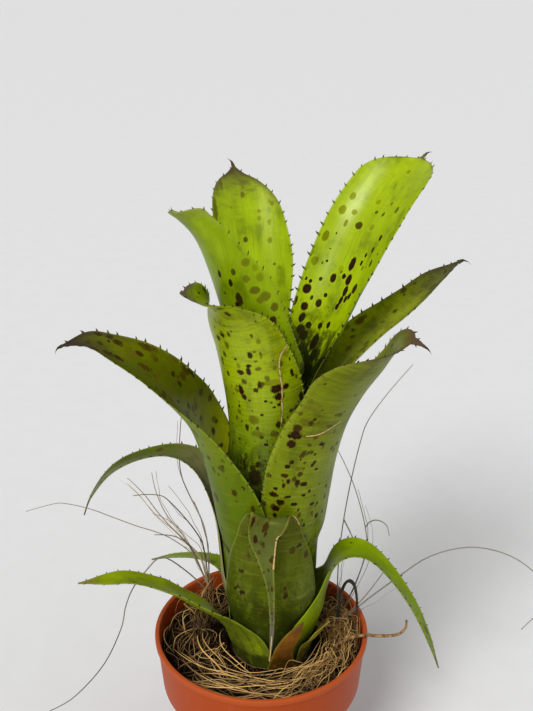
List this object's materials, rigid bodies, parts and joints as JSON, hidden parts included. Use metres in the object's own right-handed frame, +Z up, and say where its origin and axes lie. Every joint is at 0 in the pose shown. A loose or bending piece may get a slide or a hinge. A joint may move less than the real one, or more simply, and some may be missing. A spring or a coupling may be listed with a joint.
{
  "type": "potted bromeliad",
  "caption": "Tubular spotted bromeliad: a tight funnel of spiny-edged strap leaves that flare outwards, in a terracotta-coloured nursery pot mulched with loose coir fibre.",
  "frame": {"origin": "centre of the pot's underside", "axes": "+Z up along the pot's axis, -Y towards the side that the folded front leaf hangs on, +X to that side's right"},
  "size_m": [0.2532, 0.1223, 0.3175],
  "materials": {
    "terracotta_plastic": "satin moulded plastic, terracotta orange, a little lighter at the lip",
    "potting_mix": "dark damp potting mix",
    "stem": "pale brown rootstock, hidden inside the tube of sheaths",
    "leaf": "yellow green to olive leaf with dark maroon spots, waxy and softly glossy",
    "dried_leaf": "dried orange brown husk",
    "old_leaf": "yellowing old sheath",
    "withered_leaf": "withered leaf, dark olive to black",
    "root": "brown wiry root",
    "coir": "dry tan and brown coconut fibre"
  },
  "bodies": {
    "root": {"pot": "terracotta_plastic", "potting_mix": "potting_mix", "stem": "stem", "leaf_lower_left": "leaf", "leaf_lower_right": "leaf", "leaf_lower_back": "leaf", "leaf_folded_front": "leaf", "leaf_arching_left": "leaf", "leaf_outer_left": "leaf", "leaf_outer_right": "leaf", "leaf_front_left": "leaf", "leaf_back_right": "leaf", "leaf_inner_back": "leaf", "leaf_inner_right": "leaf", "leaf_innermost": "leaf", "dried_sheath": "dried_leaf", "old_sheath": "old_leaf", "dried_leaf_stub": "withered_leaf", "surface_root": "root", "coir_tuft": "coir", "coir_strands": "coir", "coir_mulch": "coir"}
  },
  "joints": []
}
